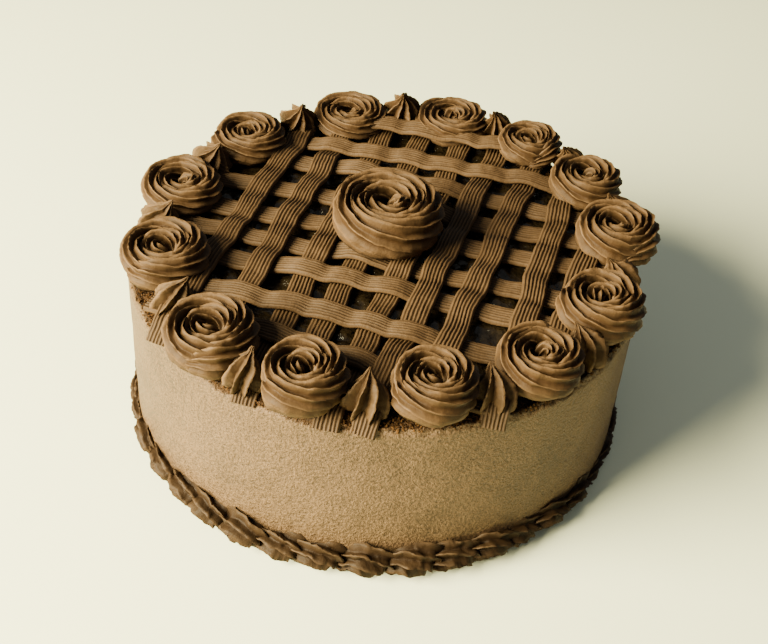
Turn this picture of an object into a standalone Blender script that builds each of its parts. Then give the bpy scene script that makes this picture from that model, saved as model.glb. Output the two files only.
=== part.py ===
"""Chocolate layer cake: a frosted drum with a fruit filling on top, a woven lattice of
piped ribbons over it, a ring of rosettes with stars between them, one larger rosette
in the middle and a shell border round the foot.

Units are metres, +Z is up. The origin is the middle of the flat underside.
Distances on the top are named from it: +X right, +Y far side.
"""
import math

import bpy

# ---------------------------------------------------------------- driving dimensions
CAKE_RADIUS = 0.120
CAKE_HEIGHT = 0.087
RIM_ROUND = 0.003
CAKE_SIDES = 64
GAP = 0.0003                      # air between pieces that touch

FILLING_RADIUS = 0.106
FILLING_DEPTH = 0.0035            # how far the filling is let into the top
FILLING_SIDES = 44
FILLING_LUMP = 0.0005

RIBBON_WIDTH = 0.0115
RIBBON_THICK = 0.0030
RIBBON_BASE = CAKE_HEIGHT + 0.0012   # underside of a ribbon that passes under another
RIBBON_LIFT = RIBBON_THICK + 0.0012  # how far a ribbon climbs to pass over another
RIBBON_SAG = 0.0012                  # dip between two crossings on the same level
RIBBON_END_RADIUS = CAKE_RADIUS - 0.004

# Ribbons that run from near to far: distance to the right of the middle, and heading.
ALONG_RIBBONS = (
    (-0.0705, 74.3), (-0.0488, 75.7), (-0.0276, 76.9), (-0.0092, 75.9), (0.0116, 75.6),
    (0.0282, 74.3), (0.0479, 73.8), (0.0727, 76.5), (0.0908, 74.2),
)
# Ribbons that run from left to right: distance to the far side of the middle, heading.
ACROSS_RIBBONS = (
    (0.0872, 169.8), (0.0724, 169.7), (0.0535, 167.3), (0.0305, 169.7), (0.0090, 171.0),
    (-0.0130, 167.8), (-0.0320, 167.9), (-0.0585, 166.3), (-0.0815, 164.0),
)
# For each ribbon across, which of the nine ribbons along it passes over.
ACROSS_ON_TOP = (
    (9,), (2, 3, 4, 5, 6, 7, 9), (3, 4, 5, 9), (5, 9), (9,),
    (4, 9), (3, 4, 5, 9), (2, 3, 4, 5, 6, 9), (3, 4, 5, 6, 9),
)

ROSETTE_RING = 0.1063
ROSETTE_FOOT = 0.70               # foot radius as a part of the full radius
ROSETTE_UNDERCUT = 0.87           # its radius at the height of the lower ribbons
# Rosettes round the rim, anticlockwise from the near left: bearing in degrees, then in
# millimetres how far outwards of the ring, radius and height.
ROSETTES = (
    (229.1, 1.7, 22.0, 20.0), (254.3, 0.7, 20.3, 20.0), (282.6, -0.7, 20.0, 20.0),
    (309.3, 1.0, 20.3, 20.0), (336.1, -0.3, 21.3, 20.0), (5.7, 1.7, 21.3, 20.0),
    (29.0, 4.5, 19.8, 19.0), (50.6, 4.0, 17.8, 16.5), (74.3, 5.0, 21.3, 13.5),
    (103.0, 2.0, 21.3, 12.5), (134.2, -1.0, 20.7, 14.5), (164.8, -3.0, 21.8, 14.5),
    (194.7, -3.0, 22.6, 16.5),
)
MIDDLE_ROSETTE_RADIUS = 0.0280
MIDDLE_ROSETTE_HEIGHT = 0.0205
MIDDLE_ROSETTE_AT = (0.0, 0.003)
ROSETTE_ARMS = 5
ROSETTE_SIDES = 20
ROSETTE_TWIST = math.radians(75)
ROSETTE_CREST = 0.070             # crest height as a part of the radius

STAR_RADIUS = 0.0098
STAR_SHIFT = 0.0045               # a star stands this far outside its two rosettes
STAR_ROOM = 0.006                 # room it needs beside them before it is pushed outwards
STAR_OUTERMOST = CAKE_RADIUS - 0.0025
STAR_POINTS = 6
# Height in millimetres of the star after each rosette.
STAR_HEIGHTS = (17.5, 17.5, 17.5, 17.5, 17.5, 18.5, 20.0, 21.5, 23.5, 21.0, 19.0, 18.0, 17.5)

SHELLS = 40
BORDER_INNER = CAKE_RADIUS + 0.0006
SHELL_FAT = 0.0074                # how far a shell's belly stands out
SHELL_WAIST = 0.0036
SHELL_HEIGHT = 0.0160
SHELL_WAIST_HEIGHT = 0.0115

# ---------------------------------------------------------------- materials
FROSTING = ("frosting", (0.225, 0.135, 0.072, 1.0), 0.55)
PIPED = ("piped_frosting", (0.165, 0.088, 0.040, 1.0), 0.42)
FRUIT = ("fruit_filling", (0.010, 0.006, 0.005, 1.0), 0.12)


def clear_scene():
    for item in list(bpy.data.objects):
        bpy.data.objects.remove(item, do_unlink=True)


def material(finish):
    name, colour, roughness = finish
    found = bpy.data.materials.get(name)
    if found:
        return found
    made = bpy.data.materials.new(name)
    made.use_nodes = True
    shader = made.node_tree.nodes["Principled BSDF"]
    shader.inputs["Base Color"].default_value = colour
    shader.inputs["Roughness"].default_value = roughness
    shader.inputs["Metallic"].default_value = 0.0
    return made


def add_object(name, points, faces, finish, at=(0.0, 0.0, 0.0), turn=0.0):
    mesh = bpy.data.meshes.new(name)
    mesh.from_pydata(points, [], faces)
    mesh.shade_smooth()
    mesh.set_sharp_from_angle(angle=math.radians(50))
    mesh.materials.append(material(finish))
    made = bpy.data.objects.new(name, mesh)
    made.location = at
    made.rotation_euler = (0.0, 0.0, turn)
    bpy.context.scene.collection.objects.link(made)
    return made


# ---------------------------------------------------------------- closed forms
def dome(rings, bottom, top):
    """A closed solid from rings of equal length, listed from the foot up to the crown."""
    sides = len(rings[0])
    points = [point for ring in rings for point in ring] + [bottom, top]
    low, high = len(points) - 2, len(points) - 1
    faces = []
    for i in range(sides):
        j = (i + 1) % sides
        faces.append((low, j, i))
        for k in range(len(rings) - 1):
            a, b = k * sides, (k + 1) * sides
            faces.append((a + i, a + j, b + j, b + i))
        last = (len(rings) - 1) * sides
        faces.append((high, last + i, last + j))
    return points, faces


def ring_of(sides, radius, height):
    """One ring; radius and height are functions of the bearing, or plain numbers."""
    points = []
    for i in range(sides):
        a = 2.0 * math.pi * i / sides
        r = radius(a) if callable(radius) else radius
        z = height(a) if callable(height) else height
        points.append((r * math.cos(a), r * math.sin(a), z))
    return points


def bearing(degrees, radius):
    return (radius * math.cos(math.radians(degrees)), radius * math.sin(math.radians(degrees)))


# ---------------------------------------------------------------- cake and filling
def make_cake():
    floor_of_recess = CAKE_HEIGHT - FILLING_DEPTH
    outline = (
        (CAKE_RADIUS, 0.0),
        (CAKE_RADIUS, CAKE_HEIGHT - RIM_ROUND),
        (CAKE_RADIUS - 0.3 * RIM_ROUND, CAKE_HEIGHT - 0.3 * RIM_ROUND),
        (CAKE_RADIUS - RIM_ROUND, CAKE_HEIGHT),
        (FILLING_RADIUS, CAKE_HEIGHT),
        (FILLING_RADIUS, floor_of_recess),
    )
    rings = [ring_of(CAKE_SIDES, r, z) for r, z in outline]
    points, faces = dome(rings, (0.0, 0.0, 0.0), (0.0, 0.0, floor_of_recess))
    add_object("frosted_cake", points, faces, FROSTING)


def lump(r, a):
    """Uneven height of the fruit filling at one place."""
    x, y = r * math.cos(a), r * math.sin(a)
    wave = math.sin(x * 410.0 + 1.3) * math.cos(y * 370.0 - 0.6)
    return FILLING_LUMP * (wave + 0.6 * math.sin(x * 190.0 - y * 230.0))


def make_filling():
    edge = FILLING_RADIUS - 2.0 * GAP
    foot = CAKE_HEIGHT - FILLING_DEPTH + GAP
    rings = [ring_of(FILLING_SIDES, edge, foot), ring_of(FILLING_SIDES, edge, CAKE_HEIGHT - GAP)]
    for part in (0.8, 0.55, 0.28):
        r = edge * part
        rings.append(ring_of(FILLING_SIDES, r, lambda a, r=r: CAKE_HEIGHT + lump(r, a)))
    points, faces = dome(rings, (0.0, 0.0, foot), (0.0, 0.0, CAKE_HEIGHT))
    add_object("fruit_filling", points, faces, FRUIT)


# ---------------------------------------------------------------- rosettes and stars
def rosette_rings(radius, height):
    """Foot, belly, shoulder, lip and the hollow eye, with crests that spiral inwards."""
    outline = ((ROSETTE_FOOT, 0.0, 0.0), (0.98, 0.38, 1.0), (0.92, 0.70, 1.0),
               (0.64, 0.97, 1.2), (0.36, 0.93, 1.0), (0.16, 0.72, 0.6))
    rings = []
    for step, (out, up, crest) in enumerate(outline):
        lean = ROSETTE_TWIST * step / (len(outline) - 1)
        swell = ROSETTE_CREST * crest

        def wave(a, lean=lean, swell=swell):
            return swell * math.cos(ROSETTE_ARMS * (a + lean))

        rings.append(ring_of(
            ROSETTE_SIDES,
            lambda a, out=out, wave=wave: radius * (out + 0.5 * wave(a)),
            lambda a, up=up, wave=wave: height * (up + wave(a)) if up else 0.0))
    return rings


def make_rosette(name, x, y, foot, radius, height, turn):
    rings = rosette_rings(radius / (1.0 + 0.5 * ROSETTE_CREST), height)
    points, faces = dome(rings, (0.0, 0.0, 0.0), (0.0, 0.0, height * 0.62))
    add_object(name, points, faces, PIPED, (x, y, foot), turn)


def rim_rosettes():
    """Place and radius of each rosette round the rim."""
    return [bearing(angle, ROSETTE_RING + out / 1000.0) + (size / 1000.0,)
            for angle, out, size, height in ROSETTES]


def make_rosettes():
    for i, (x, y, radius) in enumerate(rim_rosettes()):
        height = ROSETTES[i][3] / 1000.0
        make_rosette(f"rosette_{i + 1:02d}", x, y, CAKE_HEIGHT + GAP, radius, height, 2.1 * i)
    x, y = MIDDLE_ROSETTE_AT
    foot = RIBBON_BASE + RIBBON_THICK + RIBBON_LIFT + GAP
    make_rosette("rosette_middle", x, y, foot, MIDDLE_ROSETTE_RADIUS, MIDDLE_ROSETTE_HEIGHT, 0.4)


def stars():
    """Place, foot radius and bearing of each star, in the notches between two rosettes."""
    placed = rim_rosettes()
    found = []
    for i, (x, y, radius) in enumerate(placed):
        x2, y2, radius2 = placed[(i + 1) % len(placed)]
        mx, my = (x + x2) / 2.0, (y + y2) / 2.0
        reach = math.hypot(mx, my)
        half = math.hypot(x2 - x, y2 - y) / 2.0
        # A tight notch pushes its star outwards, as far as the rim allows.
        shift = STAR_SHIFT + max(0.0, (radius + radius2) / 2.0 + STAR_ROOM - half)
        out = min(reach + shift, STAR_OUTERMOST)
        sx, sy = mx * out / reach, my * out / reach
        near = min(math.hypot(sx - x, sy - y) - radius, math.hypot(sx - x2, sy - y2) - radius2)
        size = min(STAR_RADIUS, (near - 2.0 * GAP) / 0.44)
        found.append((sx, sy, size, math.atan2(my, mx)))
    return found


def make_stars():
    """Each star flares outwards over the rim and is pinched to a peak that leans inwards."""
    for i, (x, y, size, heading) in enumerate(stars()):
        height = STAR_HEIGHTS[i] / 1000.0
        rings = []
        for out, up, lean in ((1.0, 0.0, 0.0), (0.66, 0.42, 0.10), (0.30, 0.78, 0.28)):

            def radius(a, out=out):
                return size * out * (0.84 + 0.16 * math.cos(STAR_POINTS * a))

            rings.append([(px - lean * size, py, pz)
                          for px, py, pz in ring_of(2 * STAR_POINTS, radius, up * height)])
        points, faces = dome(rings, (0.0, 0.0, 0.0), (-0.42 * size, 0.0, height))
        add_object(f"star_{i + 1:02d}", points, faces, PIPED,
                   (x, y, CAKE_HEIGHT + GAP), heading)


# ---------------------------------------------------------------- woven ribbons
def ribbon_line(offset, degrees):
    """A point on the ribbon's middle line and its unit direction, seen from above."""
    a = math.radians(degrees)
    return (offset * math.sin(a), -offset * math.cos(a)), (math.cos(a), math.sin(a))


def crossing(line, other):
    """Distance along the first line to where it meets the other."""
    (px, py), (dx, dy) = line
    (qx, qy), (ex, ey) = other
    return ((qx - px) * ey - (qy - py) * ex) / (dx * ey - dy * ex)


def blocked(x, y, obstacles):
    if math.hypot(x, y) > RIBBON_END_RADIUS:
        return True
    return any(math.hypot(x - ox, y - oy) < size + GAP for ox, oy, size in obstacles)


def ribbon_edges(line, s):
    """Five points from edge to edge of the ribbon, at one distance along it."""
    (px, py), (dx, dy) = line
    half = RIBBON_WIDTH / 2.0 + GAP
    return [(px + s * dx - part * half * dy, py + s * dy + part * half * dx)
            for part in (-1.0, -0.5, 0.0, 0.5, 1.0)]


def reach(line, start, step, obstacles):
    """How far the ribbon runs from start before a rosette, a star or the rim stops it."""
    s = start
    while not any(blocked(x, y, obstacles) for x, y in ribbon_edges(line, s + step)):
        s += step
    return s


def ribbon_levels(line, others, on_top, low, high):
    """Stations (distance, height of the underside) where the ribbon climbs and dips."""
    hold = RIBBON_WIDTH / 2.0 + 0.0008
    meets = sorted((crossing(line, other), over) for other, over in zip(others, on_top))
    meets = [(s, over) for s, over in meets if low - hold < s < high + hold]
    stations = []
    for s, over in meets:
        z = RIBBON_BASE + (RIBBON_LIFT if over else 0.0)
        if stations and over and stations[-1][1] > RIBBON_BASE:
            middle = (stations[-1][0] + s - hold) / 2.0
            stations.append((middle, z - RIBBON_SAG))
        stations.append((s - hold, z))
        stations.append((s + hold, z))
    # Keep the stretch between the two ends, with a station at each end.
    inside = [(s, z) for s, z in stations if low < s < high]
    first = level_at(stations, low)
    last = level_at(stations, high)
    return [(low, first)] + inside + [(high, last)]


def level_at(stations, s):
    """Height of the underside at a distance, between the stations on either side."""
    for (s0, z0), (s1, z1) in zip(stations, stations[1:]):
        if s0 <= s <= s1:
            return z0 + (z1 - z0) * (s - s0) / max(s1 - s0, 1e-9)
    return RIBBON_BASE


def make_ribbon(name, line, stations):
    """A band with a flat underside and shoulders drawn in, bent to follow the stations."""
    (px, py), (dx, dy) = line
    half = RIBBON_WIDTH / 2.0
    section = ((-half, 0.0), (half, 0.0), (0.86 * half, RIBBON_THICK), (-0.86 * half, RIBBON_THICK))
    points = []
    for s, z in stations:
        for side, up in section:
            points.append((px + s * dx + side * dy, py + s * dy - side * dx, z + up))
    count = len(section)
    faces = [tuple(range(count))]
    for k in range(len(stations) - 1):
        for i in range(count):
            j = (i + 1) % count
            a, b = k * count, (k + 1) * count
            faces.append((a + j, a + i, b + i, b + j))
    faces.append(tuple(reversed(range(len(points) - count, len(points)))))
    add_object(name, points, faces, PIPED)


def make_ribbons():
    along = [ribbon_line(offset, degrees) for offset, degrees in ALONG_RIBBONS]
    across = [ribbon_line(offset, degrees) for offset, degrees in ACROSS_RIBBONS]
    for i, line in enumerate(along):
        over = [i + 1 not in row for row in ACROSS_ON_TOP]
        make_woven(f"ribbon_along_{i + 1}", line, across, over)
    for i, line in enumerate(across):
        over = [k + 1 in ACROSS_ON_TOP[i] for k in range(len(along))]
        make_woven(f"ribbon_across_{i + 1}", line, along, over)


def make_woven(name, line, others, over):
    """One ribbon of the weave, from the first thing in its way to the last."""
    part = 1.0 if any(over) else ROSETTE_UNDERCUT
    obstacles = [(x, y, part * radius) for x, y, radius in rim_rosettes()]
    obstacles += [(x, y, size) for x, y, size, heading in stars()]
    start = open_middle(line, obstacles)
    low = reach(line, start, -0.0005, obstacles)
    high = reach(line, start, 0.0005, obstacles)
    make_ribbon(name, line, ribbon_levels(line, others, over, low, high))


def open_middle(line, obstacles):
    """The place on the line that is nearest its middle and clear of every obstacle."""
    for step in range(200):
        for s in (0.001 * step, -0.001 * step):
            if not any(blocked(x, y, obstacles) for x, y in ribbon_edges(line, s)):
                return s
    raise ValueError("no clear place on this ribbon's line")


# ---------------------------------------------------------------- shell border
def make_border():
    """A ring of shells round the foot: a fat belly and a pinched waist, by turns."""
    stations = 2 * SHELLS
    points = []
    for i in range(stations):
        a = 2.0 * math.pi * i / stations
        fat = i % 2 == 0
        out = BORDER_INNER + (SHELL_FAT if fat else SHELL_WAIST)
        top = SHELL_HEIGHT if fat else SHELL_WAIST_HEIGHT
        section = ((BORDER_INNER, 0.0), (out - 0.0012, 0.0), (out, 0.34 * top),
                   (BORDER_INNER + 0.0024, top), (BORDER_INNER, 0.93 * top))
        points += [(r * math.cos(a), r * math.sin(a), z) for r, z in section]
    count = 5
    faces = []
    for i in range(stations):
        a, b = i * count, ((i + 1) % stations) * count
        for k in range(count):
            m = (k + 1) % count
            faces.append((a + k, b + k, b + m, a + m))
    add_object("shell_border", points, faces, PIPED)


def main():
    clear_scene()
    make_cake()
    make_filling()
    make_ribbons()
    make_rosettes()
    make_stars()
    make_border()


main()
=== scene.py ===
"""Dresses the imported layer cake: frosting, fruit, piped lattice, rosettes, stars, border.

The file is laid out as a Blender add-on and is run as a script. Lengths are metres, +Z
is up and the origin is the middle of the cake's flat underside. Everything piped comes
from two node trees: a rope from a star tip, swept along a path, and a ribbed ribbon.
"""

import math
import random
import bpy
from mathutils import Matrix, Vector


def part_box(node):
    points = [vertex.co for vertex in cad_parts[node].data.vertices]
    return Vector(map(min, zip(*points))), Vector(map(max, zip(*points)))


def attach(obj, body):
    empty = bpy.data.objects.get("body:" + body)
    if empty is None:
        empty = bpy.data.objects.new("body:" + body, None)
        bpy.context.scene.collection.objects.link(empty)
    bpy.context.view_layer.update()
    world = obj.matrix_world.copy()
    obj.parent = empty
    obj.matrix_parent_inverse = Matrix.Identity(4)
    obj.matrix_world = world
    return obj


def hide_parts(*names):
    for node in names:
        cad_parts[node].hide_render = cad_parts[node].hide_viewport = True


bl_info = {
    "name": "Piped Layer Cake",
    "version": (1, 0, 0),
    "blender": (4, 5, 0),
    "location": "View3D > Sidebar > Cake",
    "description": "Frosting, fruit filling, woven lattice, rosettes, stars and a shell border",
    "category": "Add Mesh",
}

import bpy
from bpy.props import FloatProperty, FloatVectorProperty, IntProperty, PointerProperty
from mathutils import Matrix, Vector, noise

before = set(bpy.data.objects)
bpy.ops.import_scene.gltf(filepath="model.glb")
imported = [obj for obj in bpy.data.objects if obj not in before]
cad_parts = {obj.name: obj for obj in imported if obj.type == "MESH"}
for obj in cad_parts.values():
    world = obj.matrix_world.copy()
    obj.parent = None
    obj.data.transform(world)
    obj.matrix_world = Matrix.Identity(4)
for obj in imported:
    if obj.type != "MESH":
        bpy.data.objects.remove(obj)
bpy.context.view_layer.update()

TURN = 2.0 * math.pi
CAKE_LOW, CAKE_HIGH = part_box("frosted_cake")
CAKE_RADIUS = CAKE_HIGH.x
CAKE_TOP = CAKE_HIGH.z
FILLING_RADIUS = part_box("fruit_filling")[1].x
ROSETTE_NODES = sorted(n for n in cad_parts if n.startswith("rosette_") and n[-1].isdigit())
FULL_ROSETTE = max(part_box(n)[1].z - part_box(n)[0].z for n in ROSETTE_NODES)
STAR_NODES = sorted(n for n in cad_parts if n.startswith("star_"))
ALONG_NODES = sorted(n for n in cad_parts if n.startswith("ribbon_along_"))
ACROSS_NODES = sorted(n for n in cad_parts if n.startswith("ribbon_across_"))

# For each ribbon across, from the far side to the near side, which of the nine ribbons
# along it lies on top of.
ACROSS_ON_TOP = (
    (3, 4, 5, 6), (2, 3, 4, 5, 6, 7), (3, 4, 5), (5,), (), (4,), (3, 4, 5),
    (2, 3, 4, 5, 6), (3, 4, 5),
)

# Where each rosette's rope starts, in turns, and how many turns it makes.
ROSETTE_STARTS = (
    (0.95, 2.30), (0.72, 2.22), (0.90, 2.45), (0.40, 2.30), (0.62, 2.25), (0.12, 2.35),
    (0.30, 2.10), (0.80, 2.05), (0.50, 2.30), (0.20, 2.35), (0.68, 2.25), (0.35, 2.30),
    (0.86, 2.30),
)
MIDDLE_START = 0.35
MIDDLE_ROPE = (0.0052, 0.0064)      # radius of its rope at the middle and outside

# Stations of a star: outwards, up, and radius as a part of the full radius.
STAR_OUTLINE = (
    (0.0008, -0.0022, 0.42), (0.0008, -0.0004, 0.84), (0.0008, 0.0016, 1.08),
    (0.0005, 0.0038, 1.12), (0.0000, 0.0060, 1.09), (-0.0008, 0.0082, 0.98),
    (-0.0019, 0.0102, 0.80), (-0.0030, 0.0120, 0.56), (-0.0040, 0.0135, 0.33),
    (-0.0048, 0.0147, 0.19), (-0.0057, 0.0160, 0.11), (-0.0064, 0.0172, 0.03))
STAR_OUTLINE_TOP = 0.0172

# Rings of the coat from its lip inwards: how far in from the side, and how far down.
RIM_OUTLINE = (
    (0.0022, -0.0002), (0.0034, 0.0006), (0.0050, 0.0002), (0.0072, 0.0004),
    (0.0100, 0.0), (0.0130, 0.0004), (0.0160, 0.0030))
# The strip of rim that carries crumbs: in from the side, and down from the top.
CRUMB_STRIP = ((0.0010, 0.0018), (0.0020, 0.0004), (0.0120, 0.0002))

# How finely each shape is divided.
WALL_SIDES = 720
CRUMB_STRIP_SIDES = 240
FILLING_SIDES = 300
FILLING_RINGS = 96
ROPE_STEPS = 80                     # in one turn of a rosette
STAR_STEPS = 5                      # from one station of a star to the next
SHELL_STEPS = 26
RIBBON_STEP = 0.0013
PROFILE_SIDES = 64                  # round a ribbon or a shell

FLOOR_HALF = 14.0
KEY_PLACE = (-1.155, -0.59, 0.74)
KEY_SIZE = 1.10
LIGHT_AIM = (0.0, 0.0, 0.06)
CAMERA_PLACE = (0.0, -0.48056659, 0.44961774)
CAMERA_RIGHT = (0.99712566, 0.04672765, 0.05964011)
CAMERA_UP = (-0.07570968, 0.64473324, 0.76064913)
CAMERA_LENS = 59.9


# ---------------------------------------------------------------- settings
def colour_setting(name, description, default):
    return FloatVectorProperty(name=name, description=description, subtype="COLOR", size=3,
                               min=0.0, max=1.0, default=default)


def length_setting(name, description, low, high, default):
    return FloatProperty(name=name, description=description, subtype="DISTANCE",
                         unit="LENGTH", min=low, max=high, default=default)


def part_setting(name, description, low, high, default):
    return FloatProperty(name=name, description=description, subtype="FACTOR",
                         min=low, max=high, default=default)


def crests_setting(default):
    return IntProperty(name="Crests", description="Points of the star tip", min=4, max=12,
                       default=default)


def groove_depth_setting(default):
    return part_setting("Groove Depth", "Depth of a groove as a part of the rope's radius",
                        0.0, 0.9, default)


def groove_shape_setting(default):
    return FloatProperty(
        name="Groove Shape", description="Scooped below 1, sharp at the bottom above it",
        min=0.2, max=3.0, default=default)


class CakeFrostingSettings(bpy.types.PropertyGroup):
    wall_colour: colour_setting(
        "Wall Colour", "Smooth frosting on the side", (0.0735, 0.0436, 0.0216))
    lip_colour: colour_setting(
        "Lip Colour", "Torn frosting and crumbs along the top edge", (0.030, 0.013, 0.003))
    unevenness: length_setting(
        "Unevenness", "How far the smoothed wall wanders in and out", 0.0, 0.003, 0.0005)
    lip_raggedness: length_setting(
        "Lip Raggedness", "How far the top edge of the wall rises and dips", 0.0, 0.004, 0.0013)
    tear_depth: length_setting(
        "Tear Depth", "How far the torn lip reaches down the wall", 0.0, 0.01, 0.0030)
    crumb_size: length_setting(
        "Crumb Size", "Radius of a crumb on the rim", 0.0001, 0.003, 0.00062)
    crumb_density: FloatProperty(
        name="Crumb Density", description="Crumbs in each square metre of the rim",
        min=0.0, max=1000000.0, default=260000.0)


class CakeFillingSettings(bpy.types.PropertyGroup):
    colour: colour_setting("Fruit Colour", "Dark fruit gel", (0.0045, 0.0030, 0.0014))
    lump_size: length_setting(
        "Lump Size", "Distance between pieces of fruit", 0.002, 0.02, 0.0075)
    lump_height: length_setting(
        "Lump Height", "How far a piece of fruit stands up", 0.0, 0.004, 0.0022)


class CakePipingSettings(bpy.types.PropertyGroup):
    body_colour: colour_setting("Piping Colour", "Piped frosting", (0.0460, 0.0256, 0.0112))
    # Painted highlight: the crest colour lightens the thin crests as if light caught their
    # edges.
    crest_highlight_colour: colour_setting(
        "Crest Colour", "Thin highlighted edges of the piping", (0.098, 0.0570, 0.0275))
    # Painted shade: the groove colour darkens the bottoms of the grooves, where shade falls.
    groove_shade_colour: colour_setting(
        "Groove Colour", "Bottoms of the piping's grooves", (0.027, 0.0132, 0.0046))
    unevenness: length_setting("Unevenness", "How far the piping wavers", 0.0, 0.004, 0.0013)


class CakeLatticeSettings(bpy.types.PropertyGroup):
    width: length_setting("Ribbon Width", "Width of a ribbon", 0.004, 0.03, 0.0115)
    thickness: length_setting(
        "Ribbon Thickness", "Thickness of a ribbon over its ridges", 0.001, 0.01, 0.0034)
    ridges: IntProperty(
        name="Ridges", description="Ridges across a ribbon", min=2, max=16, default=7)
    ridge_depth: length_setting(
        "Ridge Depth", "Depth of the grooves between ridges", 0.0, 0.003, 0.0013)
    lift: length_setting(
        "Lift", "How far a ribbon climbs to pass over another", 0.001, 0.01, 0.0037)
    sag: length_setting("Sag", "Dip between two crossings", 0.0, 0.006, 0.0015)
    far_gap: length_setting(
        "Far Gap", "From the second far ribbon across to the farthest one", 0.01, 0.04, 0.0235)
    far_raise: length_setting(
        "Far Raise", "How far the farthest ribbon across lies above the rest", 0.0, 0.01,
        0.0030)
    # Painted shade: the ribbons are a darker copy of the piping's frosting, as if their tops
    # caught less light.
    shade: part_setting(
        "Shade", "Colour of the ribbons as a part of the piping's colour", 0.0, 1.0, 0.66)


class CakeRosetteSettings(bpy.types.PropertyGroup):
    crests: crests_setting(10)
    groove_depth: groove_depth_setting(0.40)
    groove_shape: groove_shape_setting(0.72)
    rope_in: part_setting(
        "Inner Rope", "Rope's radius in the middle as a part of the rosette's", 0.1, 0.5, 0.25)
    rope_out: part_setting(
        "Outer Rope", "Rope's radius outside as a part of the rosette's", 0.1, 0.5, 0.285)
    stretch: part_setting(
        "Stretch", "Height of a full rosette's rope as a part of its width", 0.5, 2.5, 1.70)
    twist: FloatProperty(
        name="Twist", description="Turns of the crests for each round of the rope",
        min=-2.0, max=2.0, default=0.62)
    middle_turns: FloatProperty(
        name="Middle Turns", description="Turns of rope in the middle rosette",
        min=1.0, max=5.0, default=3.3)


class CakeStarSettings(bpy.types.PropertyGroup):
    radius: length_setting(
        "Star Radius", "Radius of a full star at its foot", 0.004, 0.02, 0.0098)
    crests: crests_setting(8)
    groove_depth: groove_depth_setting(0.52)
    groove_shape: groove_shape_setting(0.80)


class CakeBorderSettings(bpy.types.PropertyGroup):
    shells: IntProperty(
        name="Shells", description="Shells round the foot", min=12, max=90, default=40)
    crests: crests_setting(8)
    groove_depth: groove_depth_setting(0.46)
    groove_shape: groove_shape_setting(0.75)
    rope_radius: length_setting(
        "Rope Radius", "Radius of a shell at its widest", 0.003, 0.015, 0.0080)
    far_size: part_setting(
        "Far Size", "Size of the shells on the far side, as a part of the rest", 0.3, 1.0, 0.62)
    # Painted shade: the border is a darker copy of the piping's frosting, as if it stood in
    # shadow.
    shade: part_setting(
        "Shade", "Colour of the border as a part of the piping's colour", 0.0, 1.0, 0.50)


class CakeStageSettings(bpy.types.PropertyGroup):
    floor_colour: colour_setting("Floor Colour", "Plain pale floor", (0.66, 0.705, 0.52))
    key_power: FloatProperty(
        name="Key Power", description="Power of the large soft light on the left",
        unit="POWER", min=0.0, max=1000.0, default=306.0)
    key_colour: colour_setting(
        "Key Colour", "Colour of the light on the left", (1.0, 0.89, 0.55))
    sky_colour: colour_setting("Sky Colour", "Colour of the even light", (0.94, 0.98, 0.98))
    sky_strength: FloatProperty(
        name="Sky Strength", description="Strength of the even light from all round",
        min=0.0, max=5.0, default=0.31)


SETTINGS = {
    "cake_frosting": CakeFrostingSettings,
    "cake_filling": CakeFillingSettings,
    "cake_piping": CakePipingSettings,
    "cake_lattice": CakeLatticeSettings,
    "cake_rosettes": CakeRosetteSettings,
    "cake_stars": CakeStarSettings,
    "cake_border": CakeBorderSettings,
    "cake_stage": CakeStageSettings,
}


# ---------------------------------------------------------------- node helpers
class Field:
    """A value inside a node tree, so that sums of nodes are written as sums."""

    def __init__(self, tree, socket):
        self.tree = tree
        self.socket = socket

    def math(self, operation, *others):
        made = add_node(self.tree, "ShaderNodeMath", operation=operation)
        for socket, value in zip(made.inputs, (self, *others)):
            feed(self.tree, socket, value)
        return Field(self.tree, made.outputs[0])

    def __add__(self, other):
        return self.math("ADD", other)

    def __sub__(self, other):
        return self.math("SUBTRACT", other)

    def __mul__(self, other):
        return self.math("MULTIPLY", other)

    def __truediv__(self, other):
        return self.math("DIVIDE", other)

    def __pow__(self, other):
        return self.math("POWER", other)

    def clamped(self, low, high):
        """0 at low, 1 at high, straight between them."""
        made = add_node(self.tree, "ShaderNodeMapRange", {
            "Value": self, "From Min": low, "From Max": high})
        return Field(self.tree, made.outputs["Result"])


def feed(tree, socket, value):
    if isinstance(value, Field):
        tree.links.new(value.socket, socket)
    elif isinstance(value, bpy.types.NodeSocket):
        tree.links.new(value, socket)
    else:
        socket.default_value = value


def add_node(tree, kind, inputs=None, **settings):
    made = tree.nodes.new(kind)
    for name, value in settings.items():
        setattr(made, name, value)
    for name, value in (inputs or {}).items():
        feed(tree, made.inputs[name], value)
    return made


def vector(tree, x, y, z):
    made = add_node(tree, "ShaderNodeCombineXYZ", {"X": x, "Y": y, "Z": z})
    return made.outputs["Vector"]


def new_tree(name, inputs):
    """A geometry node tree and its inputs by name. A Geometry socket comes first."""
    tree = bpy.data.node_groups.new(name, "GeometryNodeTree")
    for label, kind in (("Geometry", "Geometry"), *inputs):
        tree.interface.new_socket(label, in_out="INPUT", socket_type="NodeSocket" + kind)
    tree.interface.new_socket("Geometry", in_out="OUTPUT", socket_type="NodeSocketGeometry")
    source = tree.nodes.new("NodeGroupInput")
    return tree, {s.name: Field(tree, s) for s in source.outputs if s.name}


def close_tree(tree, geometry, material):
    real = add_node(tree, "GeometryNodeRealizeInstances", {"Geometry": geometry})
    painted = add_node(tree, "GeometryNodeSetMaterial", {
        "Geometry": real.outputs["Geometry"], "Material": material})
    output = tree.nodes.new("NodeGroupOutput")
    tree.links.new(painted.outputs["Geometry"], output.inputs["Geometry"])


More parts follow.
